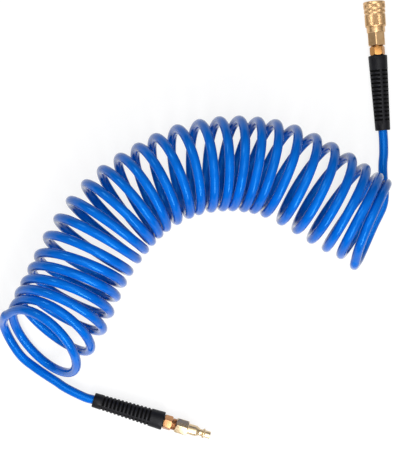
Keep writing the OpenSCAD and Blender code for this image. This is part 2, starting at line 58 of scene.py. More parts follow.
# Along a fitting, from the cut end of the hose.
NUT_BACK, NUT_FRONT = 2.1, 11.6
PLUG_BACK, COUPLER_BACK = NUT_FRONT + 4.5, NUT_FRONT + 1
THREAD_LEN = 9
COUPLER_LEN = 47
MOUTH_AT = COUPLER_BACK + COUPLER_LEN
# How far each hexagon and each restrictor is turned about its fitting's axis.
PLUG_BOOT_TURN, COUPLER_BOOT_TURN = 21, 6
PLUG_HEX_TURN, COUPLER_HEX_TURN = 17, 11

# ---- The hose, in millimetres ----------------------------------------------------------------
HOSE_OD, HOSE_BORE = 10, 6.5
BORE_DEPTH = 75
# The hose runs straight for this far inside a restrictor, in this many steps.
STRAIGHT, STRAIGHT_RINGS = 80.2, 12
# Rings of the tube in a turn of the coil and from one point of a route to the next, and points
# in a ring.
RINGS_PER_TURN, RINGS_PER_POINT, HOSE_SIDES = 48, 6, 24

# The arch that the coil follows, two turns to a point, and how its turns widen, lean and fan.
AXIS = [(-178, -132), (-155, -97), (-140, -66), (-125, -34), (-104, -2), (-80, 23), (-53, 42),
        (-20, 58), (15, 65), (46, 65), (77, 59), (113, 42), (146, 21), (174, 5)]
TURNS_PER_POINT = 2
FIRST_TURN, LAST_TURN = 0.05, 26.4
TURN_R = 45.5
SPREAD = [(0, 1.02), (1, 1.01), (2, 1.06), (5, 1.02), (8, 1.03), (12, 0.97), (19, 1.03),
          (23, 1.04), (25, 1.01), (26.6, 0.95)]
LEAN = [(0, 0.78), (1, 0.68), (2, 0.48), (5, 0.32), (8, 0.14), (12, 0.24), (19, 0.12),
        (23, 0.08), (25, -0.08), (26.6, -0.24)]
FAN = [(0, -13), (1, -3), (2, -0.5), (5, 2), (8, 1.5), (12, -6.5), (19, -7.5), (23, 3.5),
       (25, -2), (26.6, 6.5)]
PLUG_ROUTE = [(-153, -183, 10), (-163.5, -176, 9.5), (-174.5, -169, 9), (-187, -161, 7),
              (-203, -148.5, 5), (-215, -129, 8.5), (-219, -109.5, 24.5)]
COUPLER_ROUTE = [(195.5, 76.5, 11.5), (195, 66, 10), (195.5, 52.5, 8), (197.5, 36.5, 6),
                 (196, 19, 5), (186.5, -2, 5), (177, -23, 8), (168.5, -37.5, 20.5),
                 (161.5, -43, 40)]

# ---- Restrictors, nuts and sleeve, in millimetres --------------------------------------------
BOOT_FRONT, BOOT_LEN = 1.8, 81
BOOT_BACK = BOOT_FRONT - BOOT_LEN
BOOT_NARROW_R, BOOT_WIDE_R = 8.1, 10.2
BOOT_RINGS, BOOT_PITCH, BOOT_SLOTS = 13, 4.4, 4
SLOT_WIDTH, SLOT_DEPTH, WEB_WIDTH = 2.0, 1.1, 2.7
FIRST_SLOT = BOOT_BACK + 10.6 + SLOT_WIDTH / 2
# The sleeve's radius half way along its slots, and a radius between its bore and its skin.
SLOTTED_R, UNDER_SKIN_R = 9.2, 7.0
# Where a slot's wall has its rows of points, from its edge outward.
WALL_ROWS = (-0.38, -0.26, -0.16, -0.06, 0.05, 0.2)
POINTS_PER_SLOT = 13

THREAD_ROOT_R, THREAD_PITCH = 6.0, 1.411
# A thread's ridge, and how far its section is turned to stand on the root.
RIDGE_BASE, RIDGE_CREST, RIDGE_HEIGHT, RIDGE_TURN = 1.35, 0.3, 1.0, 90
# The bore that holds a thread.
THREADED_R = 6.62

RIM_R, SLEEVE_SIDES = 11.75, 96
KNURLS_ROUND, KNURL_DEPTH = 64, 0.2
# Each knurled band: its outside radius and where it starts and ends.
BANDS = [(RIM_R - 0.1, 2.6, 7.6), (RIM_R - 0.35, 9.2, 12.0), (RIM_R - 0.6, 13.6, 26.2)]
# The sleeve's inside, from its mouth: the ring's seat, a lip, the recess for the balls, the ramp,
# the throat that holds the balls in, and the spring's pocket behind its shoulder.
RING_SEAT_R, THROAT_R, RECESS_R, POCKET_R = 8.9, 7.55, 9.42, 10.0
RING_SEAT_END, LIP_END, RAMP_START, RAMP_END, SHOULDER_AT, SLEEVE_LEN = 2, 3.1, 5.71, 10.97, 13.57, 27

# ---- Lights ----------------------------------------------------------------------------------
# Name, place, width and height in metres, and power in watts.
LAMPS = [("key", (0.15, -1.1, 1.0), 0.5, 1.1, 17.0), ("fill", (-0.8, 0.8, 0.9), 0.5, 0.5, 4.0),
         ("top", (0.1, -0.1, 1.7), 1.1, 1.1, 12.0)]
FLOOR_GLOW, WALL_GLOW = 0.8, 1.1
# The floor's half width and its height, in metres.
FLOOR_HALF, FLOOR_Z = 6.0, -0.0003
# How high on the walls each grey starts, and its linear value.
WALL_GREYS = [(0.2, 0.1), (0.85, 0.38)]
# The linear colour of the light that the hose's skin reflects.
BLUE_GLINT = (0.12, 0.6, 1, 1)


# ---- Nodes -----------------------------------------------------------------------------------
ARITHMETIC, VECTORS = "ShaderNodeMath", "ShaderNodeVectorMath"


def colour(hex_value):
    """A linear colour with alpha from an sRGB hex value."""
    parts = [int(hex_value[i:i + 2], 16) / 255 for i in (1, 3, 5)]
    return [p / 12.92 if p <= 0.04045 else ((p + 0.055) / 1.055) ** 2.4 for p in parts] + [1]


def node(tree, kind, links=(), **settings):
    """Adds a node. A setting is a property or an input's value. A link names an input, or counts
    to it, and gives what goes into it: a socket, a node's first output or a plain value."""
    made = tree.nodes.new(kind)
    values = {}
    for name, value in settings.items():
        if hasattr(made, name):
            setattr(made, name, value)
        else:
            values[name.replace("_", " ")] = value
    for name, value in [*values.items(), *dict(links).items()]:
        into = made.inputs[name] if isinstance(name, int) else \
            [s for s in made.inputs if s.name == name and s.enabled][0]
        if isinstance(value, bpy.types.Node):
            value = value.outputs[0]
        if isinstance(value, bpy.types.NodeSocket):
            tree.links.new(value, into)
        else:
            into.default_value = value
    return made


def node_group(name, numbers=(), materials=()):
    """A geometry tree with its geometry sockets and named inputs."""
    tree = bpy.data.node_groups.new(name, "GeometryNodeTree")
    tree.interface.new_socket("Geometry", in_out="OUTPUT", socket_type="NodeSocketGeometry")
    tree.interface.new_socket("Geometry", in_out="INPUT", socket_type="NodeSocketGeometry")
    for label, value in numbers:
        kind = "NodeSocketInt" if isinstance(value, int) else "NodeSocketFloat"
        tree.interface.new_socket(label, in_out="INPUT", socket_type=kind).default_value = value
    for label in materials:
        tree.interface.new_socket(label, in_out="INPUT", socket_type="NodeSocketMaterial")
    return tree, tree.nodes.new("NodeGroupInput").outputs


def ended(tree, given, *geometry):
    """Ends a tree in one plain geometry with its material."""
    if len(geometry) > 1:
        both = tree.nodes.new("GeometryNodeJoinGeometry")
        for part in geometry:
            tree.links.new(part, both.inputs[0])
        geometry = [both.outputs[0]]
    real = node(tree, "GeometryNodeRealizeInstances", {"Geometry": geometry[0]})
    painted = node(tree, "GeometryNodeSetMaterial",
                   {"Geometry": real, "Material": given["Material"]})
    tree.links.new(painted.outputs[0], tree.nodes.new("NodeGroupOutput").inputs[0])
    return tree


def built(base, tree, **values):
    """The mesh that a tree makes from an object, as a plain object under the base's name."""
    name = base.name
    live = base.modifiers.new("tree", "NODES")
    live.node_group = tree
    ids = {s.name: s.identifier for s in tree.interface.items_tree if s.in_out == "INPUT"}
    for label, value in values.items():
        live[ids[label.replace("_", " ")]] = value
    graph = bpy.context.evaluated_depsgraph_get()
    mesh = bpy.data.meshes.new_from_object(base.evaluated_get(graph), depsgraph=graph)
    bpy.data.objects.remove(base)
    return placed(name, mesh)


def placed(name, data):
    """A new object in the scene."""
    made = bpy.data.objects.new(name, data)
    bpy.context.collection.objects.link(made)
    return made


# ---- Places and camera -----------------------------------------------------------------------
def heading(angle):
    return Vector((math.cos(math.radians(angle)), math.sin(math.radians(angle)), 0))


def fitting_frame(at, angle):
    """From a fitting's own frame, +Z along its axis from the cut end of the hose, to the model's."""
    return Matrix.Translation(at + CENTRE) @ Matrix.Rotation(math.radians(angle), 4, "Z") \
        @ Matrix.Rotation(math.radians(90), 4, "Y")


PLUG_FRAME = fitting_frame(PLUG_AT, PLUG_HEADING)
COUPLER_FRAME = fitting_frame(COUPLER_AT, COUPLER_HEADING)
# The coupler's own frame, from its mouth inward.
MOUTH_FRAME = COUPLER_FRAME @ Matrix.Translation((0, 0, MOUTH_AT)) @ Matrix.Rotation(math.pi, 4, "X")


def make_camera():
    data = bpy.data.cameras.new("camera")
    data.sensor_width, data.lens = CAMERA_SENSOR, CAMERA_LENS
    data.clip_start, data.clip_end = 0.05, 20
    camera = placed("camera", data)
    eye, aim = (CAMERA_EYE + CENTRE) * MM, (CAMERA_AIM + CENTRE) * MM
    away = (eye - aim).normalized()
    right = Vector((0, 1, 0)).cross(away).normalized()
    turned = Matrix((right, away.cross(right), away)).transposed().to_4x4()
    camera.matrix_world = Matrix.Translation(eye) @ turned
    bpy.context.scene.camera = camera


# ---- The hose --------------------------------------------------------------------------------
def between(table, x):
    """The value of a table of (place, value) at x, in a straight line between its rows."""
    for (a, va), (b, vb) in zip(table, table[1:]):
        if x <= b:
            return va + (vb - va) * (x - a) / (b - a)
    return table[-1][1]


def with_ends(points):
    return [2 * points[0] - points[1], *points, 2 * points[-1] - points[-2]]


def curve_at(p, s):
    """A smooth curve through the points of p, with s counting the points."""
    i = min(max(math.floor(s), 0), len(p) - 4)
    t = s - i
    a, b, c, d = p[i:i + 4]
    return 0.5 * (2 * b + (c - a) * t + (2 * a - 5 * b + 4 * c - d) * t * t
                  + (3 * b - a - 3 * c + d) * t ** 3)


ARCH = with_ends([Vector((x, y, 0)) for x, y in AXIS])


def coil_point(w):
    """The middle of the hose after w turns of the coil."""
    s = w / TURNS_PER_POINT
    centre = curve_at(ARCH, s)
    ahead = (curve_at(ARCH, s + 0.01) - curve_at(ARCH, s - 0.01)).normalized()
    a = math.atan2(ahead.y, ahead.x) + math.radians(between(FAN, w))
    r = TURN_R * between(SPREAD, w)
    side, rise = r * math.cos(2 * math.pi * w), r * math.sin(2 * math.pi * w)
    point = centre + between(LEAN, w) * rise * ahead
    return Vector((point.x - side * math.sin(a), point.y + side * math.cos(a),
                   HOSE_OD / 2 + r + rise))


def coil_direction(w):
    return (coil_point(w + 0.01) - coil_point(w - 0.01)).normalized()


def free_stretch(at, angle, route, coil_end, away):
    """The middle of the hose from its cut end in a fitting, along its route, to the coil."""
    back = at - STRAIGHT * heading(angle)
    points = [back, back - HOSE_OD * heading(angle), *map(Vector, route),
              coil_end + HOSE_OD * away, coil_end]
    curve = with_ends(points)
    steps = (len(points) - 1) * RINGS_PER_POINT
    straight = [at + (back - at) * i / STRAIGHT_RINGS for i in range(STRAIGHT_RINGS)]
    return straight + [curve_at(curve, i / RINGS_PER_POINT) for i in range(steps)]


def hose_path():
    """The middle of the whole hose, from the coupler to the plug, in metres."""
    count = round((LAST_TURN - FIRST_TURN) * RINGS_PER_TURN)
    turns = [FIRST_TURN + (LAST_TURN - FIRST_TURN) * i / count for i in range(count + 1)]
    coil = [coil_point(w) for w in turns]
    first, last = coil_direction(FIRST_TURN), coil_direction(LAST_TURN)
    start, end = coil[0] - HOSE_OD * first, coil[-1] + HOSE_OD * last
    plug_end = free_stretch(PLUG_AT, PLUG_HEADING, PLUG_ROUTE, start, -first)
    coupler_end = free_stretch(COUPLER_AT, COUPLER_HEADING, COUPLER_ROUTE, end, last)
    path = [*coupler_end, end, *coil[::-1], start, *plug_end[::-1]]
    return [(p + CENTRE) * MM for p in path]


def curve_object(name, points):
    """A poly curve through points in metres, for a tree of nodes to work on."""
    data = bpy.data.curves.new(name, "CURVE")
    data.dimensions = "3D"
    spline = data.splines.new("POLY")
    spline.points.add(len(points) - 1)
    spline.points.foreach_set("co", [x for p in points for x in (*p, 1)])
    return placed(name, data)


def hose_tree():
    """A round tube along a curve. It stores its place on the hose, so that a pattern follows it."""
    tree, given = node_group("hose_tube", [("Diameter", 0.0), ("Sides", 8)], ["Material"])
    radius = node(tree, ARITHMETIC, {0: given["Diameter"], 1: 2}, operation="DIVIDE")
    circle = node(tree, "GeometryNodeCurvePrimitiveCircle",
                  {"Resolution": given["Sides"], "Radius": radius})
    across = node(tree, "GeometryNodeCaptureAttribute", {"Geometry": circle}, domain="POINT")
    across.capture_items.new("VECTOR", "across")
    tree.links.new(node(tree, "GeometryNodeInputPosition").outputs[0], across.inputs[1])
    along = node(tree, "GeometryNodeCaptureAttribute", {"Geometry": given["Geometry"]},
                 domain="POINT")
    along.capture_items.new("FLOAT", "along")
    tree.links.new(node(tree, "GeometryNodeSplineParameter").outputs["Length"], along.inputs[1])
    tube = node(tree, "GeometryNodeCurveToMesh", {"Curve": along, "Profile Curve": across})
    place = node(tree, "ShaderNodeCombineXYZ", {"Z": along.outputs[1]})
    place = node(tree, VECTORS, {0: across.outputs[1], 1: place}, operation="ADD")
    stored = node(tree, "GeometryNodeStoreNamedAttribute", {"Geometry": tube, "Value": place},
                  data_type="FLOAT_VECTOR", domain="POINT", Name="hose_place")
    smooth = node(tree, "GeometryNodeSetShadeSmooth", {"Geometry": stored})
    return ended(tree, given, smooth.outputs[0])


def open_rims(shape):
    """Each open end of a mesh, as its points in order round it."""
    left, rims = [e for e in shape.edges if e.is_boundary], []
    while left:
        edge, rim = left[0], [left[0].verts[0]]
        while edge:
            left.remove(edge)
            rim.append(edge.other_vert(rim[-1]))
            edge = next((e for e in rim[-1].link_edges if e in left), None)
        rims.append(rim[:-1])
    return rims


def close_bored_ends(mesh):
    """Turns each open end of the tube in to its bore, runs the bore back and closes it. The faces
    are made in order round the rim, so that each run gives the same mesh."""
    shape = bmesh.new()
    shape.from_mesh(mesh)
    for rim in open_rims(shape):
        skin = rim[0].link_faces[0]
        middle = sum((v.co for v in rim), Vector()) / len(rim)
        inward = sum((e.other_vert(v).co - v.co for v in rim for e in v.link_edges
                      if e.other_vert(v) not in rim), Vector()).normalized()
        for scale, shift in ((HOSE_BORE / HOSE_OD, 0), (1, BORE_DEPTH)):
            ring = [shape.verts.new(middle + (v.co - middle) * scale + inward * shift * MM, v)
                    for v in rim]
            for i in range(len(rim)):
                shape.faces.new((rim[i - 1], rim[i], ring[i], ring[i - 1]), skin)
            rim, middle = ring, middle + inward * shift * MM
        shape.faces.new(rim, skin)
    bmesh.ops.recalc_face_normals(shape, faces=shape.faces)
    shape.to_mesh(mesh)
    shape.free()


def make_hose(material):
    path = hose_path()
    hose = built(curve_object("air_hose", path), hose_tree(), Diameter=HOSE_OD * MM,
                 Sides=HOSE_SIDES, Material=material)
    close_bored_ends(hose.data)
    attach(hose, "hose")
    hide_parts("hose_coil", "hose_tail_plug_end", "hose_tail_coupler_end")


# ---- Turned and milled parts -----------------------------------------------------------------
def filleted(profile, radius, steps=2):
    """A closed profile with each corner turned into a small arc, always of steps + 1 points."""
    out = []
    for before, corner, after in zip([profile[-1], *profile], profile, [*profile[1:], profile[0]]):
        corner = Vector(corner)
        back, on = Vector(before) - corner, Vector(after) - corner
        if min(back.length, on.length) < 1e-6:
            out += [corner] * (steps + 1)
            continue
        # An arc takes 0.4 of an edge at most, so that the arcs at its two ends don't meet.
        reach = min(radius / max(math.tan(back.angle(on) / 2), 0.2),
                    0.4 * back.length, 0.4 * on.length)
        a, b = corner + back.normalized() * reach, corner + on.normalized() * reach
        for i in range(steps + 1):
            t = i / steps
            out.append((1 - t) ** 2 * a + 2 * t * (1 - t) * corner + t * t * b)
    return out


def solid(name, verts, faces):
    """A mesh object with its doubles merged and its faces outward."""
    mesh = bpy.data.meshes.new(name)
    mesh.from_pydata(verts, [], faces)
    shape = bmesh.new()
    shape.from_mesh(mesh)
    bmesh.ops.remove_doubles(shape, verts=shape.verts, dist=0.002)
    bmesh.ops.dissolve_degenerate(shape, edges=shape.edges, dist=0.001)
    bmesh.ops.recalc_face_normals(shape, faces=shape.faces)
    shape.to_mesh(mesh)
    shape.free()
    return placed(name, mesh)


def revolved(name, profile_at, angles, fillet=0.15):
    """A closed ring in millimetres, of the profile at each angle, in degrees."""
    columns = [filleted(profile_at(a), fillet) for a in angles]
    rows, count = len(columns[0]), len(columns)
    verts = [(p[0] * math.cos(math.radians(a)), p[0] * math.sin(math.radians(a)), p[1])
             for a, column in zip(angles, columns) for p in column]
    faces = [(i * rows + j, (i + 1) % count * rows + j, (i + 1) % count * rows + (j + 1) % rows,
              i * rows + (j + 1) % rows) for i in range(count) for j in range(rows)]
    return solid(name, verts, faces)


def fitted(piece, frame_matrix, body, material, cad_node, sharp=28):
    """Sets a piece in its place, with its finish, on its body, over the CAD node it stands for."""
    mesh = piece.data
    mesh.transform(Matrix.Scale(MM, 4) @ frame_matrix)
    mesh.shade_smooth()
    mesh.set_sharp_from_angle(angle=math.radians(sharp))
    mesh.materials.clear()
    mesh.materials.append(material)
    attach(piece, body)
    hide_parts(cad_node)
    return piece


def hexagon_angles(turned_by):
    """Angles round a hexagon, close together at its corners."""
    steps = (-30, -29.3, -28.2, -26, -22, -15, -7.5, 0, 7.5, 15, 22, 26, 28.2, 29.3)
    return [60 * k + turned_by + a for k in range(6) for a in steps]


def off_flat(angle, turned_by):
    """The angle from the middle of the nearest flat."""
    return (angle - turned_by + 30) % 60 - 30


def hexagon_rows(angle, turned_by, across, start, end, chamfer):
    """The outside of a hexagonal bar at this angle, with its corners turned down at both ends."""
    half, corner, edge = across / 2, across / math.sqrt(3), 0.15
    r = min(half / math.cos(math.radians(off_flat(angle, turned_by))), corner - 0.12)
    drop = chamfer * (r - half) / (corner + 0.1 - half)
    return [(half - edge, start), (r, start + edge + drop), (r, end - edge - drop),
            (half - edge, end)]


# ---- Bend restrictors: a moulded sleeve with rings of slots ----------------------------------
def slotted_sleeve_tree():
    """Sinks rings of slots with rounded edges into the outside of a turned sleeve."""
    tree, given = node_group("slotted_sleeve", [
        ("First Slot", 0.0), ("Rings", 1), ("Pitch", 1.0), ("Slot Width", 1.0),
        ("Slot Depth", 1.0), ("Slots", 1), ("Web Width", 1.0), ("Turn", 0.0), ("Skin", 1.0)],
        ["Material"])
    xyz = node(tree, "ShaderNodeSeparateXYZ", {0: node(tree, "GeometryNodeInputPosition")}).outputs
    off_axis = node(tree, "ShaderNodeCombineXYZ", {"X": xyz["X"], "Y": xyz["Y"]})
    radius = node(tree, VECTORS, {0: off_axis}, operation="LENGTH").outputs["Value"]

    # How far inside a slot's edge along the sleeve, from the nearest ring of slots.
    from_first = node(tree, ARITHMETIC, {0: xyz["Z"], 1: given["First Slot"]}, operation="SUBTRACT")
    ring = node(tree, ARITHMETIC, {0: from_first, 1: given["Pitch"]}, operation="DIVIDE")
    ring = node(tree, ARITHMETIC, {0: ring}, operation="ROUND")
    last_ring = node(tree, ARITHMETIC, {0: given["Rings"], 1: 1}, operation="SUBTRACT")
    ring = node(tree, ARITHMETIC, {0: ring, 1: last_ring}, operation="MINIMUM")
    ring = node(tree, ARITHMETIC, {0: ring, 1: 0}, operation="MAXIMUM")
    middle = node(tree, ARITHMETIC, {0: ring, 1: given["Pitch"]}, operation="MULTIPLY")
    along = node(tree, ARITHMETIC, {0: from_first, 1: middle}, operation="SUBTRACT")
    along = node(tree, ARITHMETIC, {0: along}, operation="ABSOLUTE")
    half_slot = node(tree, ARITHMETIC, {0: given["Slot Width"], 1: 0.5}, operation="MULTIPLY")
    along = node(tree, ARITHMETIC, {0: half_slot, 1: along}, operation="SUBTRACT")

    # And how far round it, from the nearest web.
    angle = node(tree, ARITHMETIC, {0: xyz["Y"], 1: xyz["X"]}, operation="ARCTAN2")
    angle = node(tree, ARITHMETIC, {0: angle, 1: given["Turn"]}, operation="SUBTRACT")
    share = node(tree, ARITHMETIC, {0: angle, 1: given["Slots"]}, operation="MULTIPLY")
    share = node(tree, ARITHMETIC, {0: share, 1: 2 * math.pi}, operation="DIVIDE")
    whole = node(tree, ARITHMETIC, {0: share}, operation="ROUND")
    share = node(tree, ARITHMETIC, {0: share, 1: whole}, operation="SUBTRACT")
    share = node(tree, ARITHMETIC, {0: share}, operation="ABSOLUTE")
    arc = node(tree, ARITHMETIC, {0: share, 1: 2 * math.pi}, operation="MULTIPLY")
    arc = node(tree, ARITHMETIC, {0: arc, 1: given["Slots"]}, operation="DIVIDE")
    side = node(tree, ARITHMETIC, {0: arc}, operation="SINE")
    side = node(tree, ARITHMETIC, {0: side, 1: radius}, operation="MULTIPLY")
    half_web = node(tree, ARITHMETIC, {0: given["Web Width"], 1: 0.5}, operation="MULTIPLY")
    side = node(tree, ARITHMETIC, {0: side, 1: half_web}, operation="SUBTRACT")

    # Points of the skin sink the more, the farther inside both edges they are.
    inside = node(tree, ARITHMETIC, {0: along, 1: side}, operation="MINIMUM")
    sunk = node(tree, "ShaderNodeMapRange", {"Value": inside}, interpolation_type="SMOOTHSTEP",
                From_Min=-0.2, From_Max=0.4)
    skin = node(tree, ARITHMETIC, {0: radius, 1: given["Skin"]}, operation="GREATER_THAN")
    sunk = node(tree, ARITHMETIC, {0: sunk, 1: skin}, operation="MULTIPLY")
    depth = node(tree, ARITHMETIC, {0: sunk, 1: given["Slot Depth"]}, operation="MULTIPLY")
    depth = node(tree, ARITHMETIC, {0: depth, 1: -1}, operation="MULTIPLY")
    outward = node(tree, VECTORS, {0: off_axis}, operation="NORMALIZE")
    offset = node(tree, VECTORS, {0: outward, "Scale": depth}, operation="SCALE")
    # The share of the depth is kept for the finish, which makes a slot's floor duller and paints
    # shade into the slot.
    kept = node(tree, "GeometryNodeStoreNamedAttribute",
                {"Geometry": given["Geometry"], "Value": sunk},
                data_type="FLOAT", domain="POINT", Name="slot_depth")
    moved = node(tree, "GeometryNodeSetPosition", {"Geometry": kept, "Offset": offset})
    return ended(tree, given, moved.outputs[0])


def rounded_edge(r, z, inward):
    """Three points that turn from an end face at z to the outside at r. Inward is 1 or -1: the way
    along the axis from that face into the sleeve."""
    return [(r - 0.8, z), (r - 0.25, z + 0.25 * inward), (r, z + 0.9 * inward)]


def slot_angles(turned_by):
    """Angles round a restrictor: close together at the ends of its slots, even along them."""
    apart = 360 / BOOT_SLOTS
    edges = [math.degrees(math.asin((WEB_WIDTH / 2 - w) / SLOTTED_R)) for w in WALL_ROWS]
    step = (apart - 2 * edges[0]) / POINTS_PER_SLOT
    angles = []
    for k in range(BOOT_SLOTS):
        web = apart * k + turned_by
        angles += [web, *(web + e for e in edges), *(web + apart - e for e in edges)]
        angles += [web + edges[0] + step * i for i in range(1, POINTS_PER_SLOT)]
    return sorted(angles)


def boot_r(z):
    """The outside radius of a restrictor, which widens evenly towards its nut."""
    return BOOT_NARROW_R + (BOOT_WIDE_R - BOOT_NARROW_R) * (z - BOOT_BACK) / BOOT_LEN


def bend_restrictor(end, frame_matrix, turned_by, tree, material):
    """A tapered sleeve over the crimped end of the hose."""
    bore_r, pocket_r, pocket_at = 5.2, 6.45, -24.3
    rows = [BOOT_BACK + 5]
    for k in range(BOOT_RINGS):
        middle, half = FIRST_SLOT + k * BOOT_PITCH, SLOT_WIDTH / 2
        rows += [middle - half - w for w in reversed(WALL_ROWS)] + [middle]
        rows += [middle + half + w for w in WALL_ROWS] + [middle + BOOT_PITCH / 2]
    rows.append(BOOT_FRONT - 6)
    profile = [(bore_r, BOOT_BACK), *rounded_edge(BOOT_NARROW_R, BOOT_BACK, 1),
               *((boot_r(z), z) for z in rows),
               *reversed(rounded_edge(BOOT_WIDE_R, BOOT_FRONT, -1)),
               (pocket_r, BOOT_FRONT), (pocket_r, pocket_at), (bore_r, pocket_at)]
    blank = revolved("slotted_restrictor_" + end, lambda angle: profile, slot_angles(turned_by),
                     fillet=0.0)
    sleeve = built(blank, tree, First_Slot=FIRST_SLOT, Rings=BOOT_RINGS, Pitch=BOOT_PITCH,
                   Slot_Width=SLOT_WIDTH, Slot_Depth=SLOT_DEPTH, Slots=BOOT_SLOTS,
                   Web_Width=WEB_WIDTH, Turn=math.radians(turned_by), Skin=UNDER_SKIN_R,
                   Material=material)
    return fitted(sleeve, frame_matrix, "hose", material,
                  f"bend_restrictor_{end}_end", sharp=50)


# ---- Nuts with their thread, and springs: something wound round an axis ----------------------
def wound_tree():
    """Adds a ridge or wire of a given section, wound round +Z at an even pitch."""
    tree, given = node_group("wound", [
        ("Radius", 1.0), ("Start", 0.0), ("Length", 1.0), ("Turns", 1.0), ("Steps", 32),
        ("Base", 1.0), ("Crest", 1.0), ("Height", 1.0), ("Wire", 0.0)], ["Material"])
    spiral = node(tree, "GeometryNodeCurveSpiral",
                  {"Resolution": given["Steps"], "Rotations": given["Turns"],
                   "Start Radius": given["Radius"], "End Radius": given["Radius"],
                   "Height": given["Length"]})
    upright = node(tree, "GeometryNodeSetCurveNormal", {"Curve": spiral}, mode="Z_UP")
    ridge = node(tree, "GeometryNodeCurvePrimitiveQuadrilateral",
                 {"Bottom Width": given["Base"], "Top Width": given["Crest"],
                  "Height": given["Height"]}, mode="TRAPEZOID")
    ridge = node(tree, "GeometryNodeTransform", {"Geometry": ridge},
                 Rotation=(0, 0, math.radians(RIDGE_TURN)))
    wire = node(tree, "GeometryNodeCurvePrimitiveCircle", {"Radius": given["Wire"]}, Resolution=12)
    is_wire = node(tree, ARITHMETIC, {0: given["Wire"], 1: 0.0}, operation="GREATER_THAN")
    section = node(tree, "GeometryNodeSwitch", {"Switch": is_wire, "False": ridge, "True": wire},
                   input_type="GEOMETRY")
    swept = node(tree, "GeometryNodeCurveToMesh", {"Curve": upright, "Profile Curve": section},
                 Fill_Caps=True)
    lift = node(tree, "ShaderNodeCombineXYZ", {"Z": given["Start"]})
    lifted = node(tree, "GeometryNodeTransform", {"Geometry": swept, "Translation": lift})
    return ended(tree, given, given["Geometry"], lifted.outputs[0])


def swivel_nut(end, frame_matrix, back, body, tree, material):
    """A hexagonal nut, with a thread into the piece whose back face is given."""
    across_flats, lip_r, chamber_r, stem_r, through_r = 14.3, 4.3, 5.7, 4.05, 2.6
    chamber_at, stem_at, stem_end = 3.6, 6.4, 16.5
    front = back + THREAD_LEN

    def profile(angle):
        return [(lip_r, NUT_BACK),
                *hexagon_rows(angle, 0, across_flats, NUT_BACK, NUT_FRONT, chamfer=1.1),
                (THREAD_ROOT_R, NUT_FRONT), (THREAD_ROOT_R, front - 0.6),
                (THREAD_ROOT_R - 0.5, front), (through_r, front), (through_r, stem_end),
                (stem_r, stem_end), (stem_r, stem_at), (chamber_r, stem_at),
                (chamber_r, chamber_at), (lip_r, chamber_at)]
    turns = (front - NUT_FRONT - 1.6) / THREAD_PITCH
    nut = built(revolved("threaded_nut_" + end, profile, hexagon_angles(0)), tree,
                Radius=THREAD_ROOT_R + 0.1, Start=NUT_FRONT + 0.7, Length=THREAD_PITCH * turns,
                Turns=turns, Steps=48, Base=RIDGE_BASE, Crest=RIDGE_CREST, Height=RIDGE_HEIGHT,
                Wire=0.0, Material=material)
    return fitted(nut, frame_matrix, body, material, f"swivel_nut_{end}_end")


def compression_spring(name, radius, wire, turns, ends, tree, material, cad_node):
    """A spring of round wire between two seats, the front one of which the joint pushes back."""
    start, end = ends
    spring = built(solid(name, [], []), tree, Radius=radius, Start=start + wire / 2,
                   Length=end - start - wire, Turns=turns, Steps=40, Wire=wire / 2,
                   Material=material)
    fitted(spring, MOUTH_FRAME, "coupler", material, cad_node, sharp=60)
    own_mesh(spring)


# ---- Plug and coupler ------------------------------------------------------------------------
def quick_plug(material):
    """A hexagonal plug, from its thread to the bead that the coupler's balls hold and its tip."""
    across_flats, face_r = 15.9, 7.2
    body_r, shoulder_r, neck_r, bead_r, tip_r, bore_r = 5.8, 4.1, 3.7, 5.35, 3.95, 2.55
    back, hex_front = PLUG_BACK, PLUG_BACK + 13.9
    body_end = hex_front + 9.5
    neck = body_end + 3.6
    bead, tip, end = neck + 3.4, neck + 6.8, neck + 12.8

    def profile(angle):
        return [(face_r, back),
                *hexagon_rows(angle, PLUG_HEX_TURN, across_flats, back, hex_front, chamfer=1.6),
                (body_r, hex_front), (body_r, body_end), (shoulder_r, neck), (neck_r, neck + 0.3),
                (neck_r, bead), (bead_r, bead + 1.19), (bead_r, tip - 1.19), (tip_r, tip),
                (tip_r, end - 0.4), (tip_r - 0.4, end), (bore_r, end), (bore_r, back + 12),
                (THREADED_R, back + 10), (THREADED_R, back + 0.6)]
    return fitted(revolved("turned_plug", profile, hexagon_angles(PLUG_HEX_TURN)), PLUG_FRAME,
                  "plug_end", material, "quick_plug")


def coupler_rear_body(material):
    """Round bar with six flats milled up to a sloping run-out."""
    bar_r, half, chamfer_r, face_r, front = 9.9, 8.75, 8.9, 7.2, 23
    barrel_r, socket_r, vent_r, guide_r = 7.52, 6.3, 5.6, 2.05
    socket_at, web_at, vent_at = 28.02, 28.6, 31
    flats_at, end = COUPLER_LEN - 14.5, COUPLER_LEN
    turned_by = 30 + COUPLER_HEX_TURN

    def profile(angle):
        lean = math.cos(math.radians(off_flat(angle, turned_by)))
        on_flat = min(bar_r, half / lean)
        run_out = flats_at + 1 - max(0, bar_r * lean - half)
        return [(barrel_r, front), (bar_r, front), (bar_r, min(run_out, flats_at + 0.9)),
                (on_flat, flats_at + 1), (on_flat, end - 1 + max(0, chamfer_r - on_flat)),
                (min(on_flat, chamfer_r), end), (face_r, end), (THREADED_R, end - 0.6),
                (THREADED_R, end - 10), (vent_r, end - 10), (vent_r, vent_at), (guide_r, vent_at),
                (guide_r, web_at), (socket_r, web_at), (socket_r, socket_at),
                (barrel_r, socket_at)]
    return fitted(revolved("milled_rear_body", profile, hexagon_angles(turned_by), fillet=0.2),
                  MOUTH_FRAME, "coupler", material, "coupler_rear_body")


